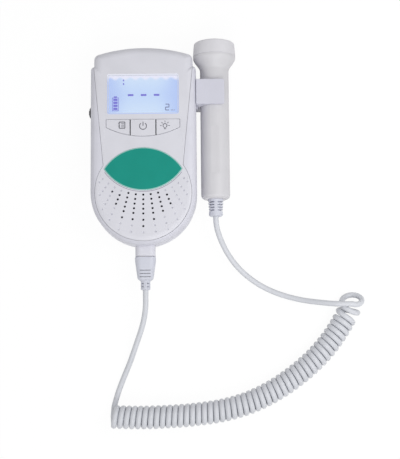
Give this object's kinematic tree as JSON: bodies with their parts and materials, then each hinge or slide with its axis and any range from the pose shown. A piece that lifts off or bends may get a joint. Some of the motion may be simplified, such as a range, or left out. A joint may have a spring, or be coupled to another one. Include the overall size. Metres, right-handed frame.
{
  "type": "fetal doppler monitor",
  "caption": "Handheld fetal doppler with a display, keys and a loudspeaker, and a clipped-on probe whose curly cord plugs in at the lower end.",
  "frame": {"origin": "middle of the housing's flat back, on the surface it lies on", "axes": "+X to the side with the probe, +Y along the housing to its arched top end, +Z out of the display"},
  "size_m": [0.1844, 0.2604, 0.0314],
  "materials": {
    "body_white": "satin",
    "wing_lilac": "satin",
    "probe_white": "satin",
    "probe_band": "satin",
    "probe_membrane": "matt",
    "clip_white": "satin",
    "cord": "satin",
    "plug_lilac": "satin",
    "window": "clear",
    "panel_blue": "backlit",
    "light_guide": "clear",
    "frame_white": "matt",
    "plate_green": "gloss",
    "black_plastic": "matt",
    "switch_metal": "brushed",
    "board_green": "solder mask",
    "parts_brown": "matt",
    "steel": "brushed",
    "magnet": "matt",
    "cloth": "woven",
    "cone_paper": "matt",
    "cell_jacket": "gloss",
    "spring_steel": "plated",
    "contact_gold": "plated",
    "crystal": "fired",
    "backing": "matt",
    "rail_grey": "satin"
  },
  "bodies": {
    "housing": {"rear_shell": "wing_lilac", "front_cover": "body_white", "lcd_window": "window", "lcd_panel": "panel_blue", "backlight": "light_guide", "lcd_frame": "frame_white", "name_plate": "plate_green", "tact_switches": "switch_metal", "main_board": "board_green", "processor_chip": "black_plastic", "board_parts": "parts_brown", "speaker_basket": "steel", "speaker_cone": "cone_paper", "speaker_magnet": "magnet", "speaker_cloth": "cloth", "volume_pot": "parts_brown", "earphone_jack": "black_plastic", "battery_1": "cell_jacket", "battery_2": "cell_jacket", "contact_springs": "spring_steel", "contact_plates": "spring_steel", "case_screws": "steel", "board_screws": "steel", "probe_socket": "plug_lilac", "socket_contacts": "contact_gold", "clip_rail": "rail_grey", "rail_screws": "steel", "probe_clip": "clip_white", "probe_lead": "cord", "curly_cord": "cord", "plug_lead": "cord"},
    "key_mode": {"key_mode": "body_white", "plunger_mode": "black_plastic"},
    "key_power": {"key_power": "body_white", "plunger_power": "black_plastic"},
    "key_light": {"key_light": "body_white", "plunger_light": "black_plastic"},
    "volume_wheel": {"volume_wheel": "black_plastic"},
    "battery_door": {"battery_door": "wing_lilac"},
    "probe": {"probe_handle": "probe_white", "probe_head": "probe_band", "probe_face": "probe_membrane", "probe_seal": "backing", "crystal_disc": "crystal", "backing_block": "backing", "probe_board": "board_green", "probe_boot": "probe_white"},
    "plug": {"plug_body": "plug_lilac", "plug_tongue": "contact_gold", "plug_boot": "plug_lilac"}
  },
  "joints": [
    {"name": "mode_key_press", "type": "slide", "parent": "housing", "child": "key_mode", "axis": [0, 0, -1], "range_m": [0, 0.0006], "stiffness_N_per_m": 300, "springref_m": -0.0005},
    {"name": "power_key_press", "type": "slide", "parent": "housing", "child": "key_power", "axis": [0, 0, -1], "range_m": [0, 0.0006], "stiffness_N_per_m": 300, "springref_m": -0.0005},
    {"name": "light_key_press", "type": "slide", "parent": "housing", "child": "key_light", "axis": [0, 0, -1], "range_m": [0, 0.0006], "stiffness_N_per_m": 300, "springref_m": -0.0005},
    {"name": "volume_turn", "type": "hinge", "parent": "housing", "child": "volume_wheel", "pos_m": [-0.0305, 0.0244, 0.0165], "axis": [0, 0, 1], "range_deg": [-140, 140]},
    {"name": "battery_door_slide", "type": "slide", "parent": "housing", "child": "battery_door", "axis": [0, -1, 0], "range_m": [0, 0.062]},
    {"name": "probe_unclip", "type": "slide", "parent": "housing", "child": "probe", "axis": [1, 0, 0], "range_m": [0, 0.024]},
    {"name": "plug_pull", "type": "slide", "parent": "housing", "child": "plug", "axis": [0, -1, 0], "range_m": [0, 0.009]}
  ]
}
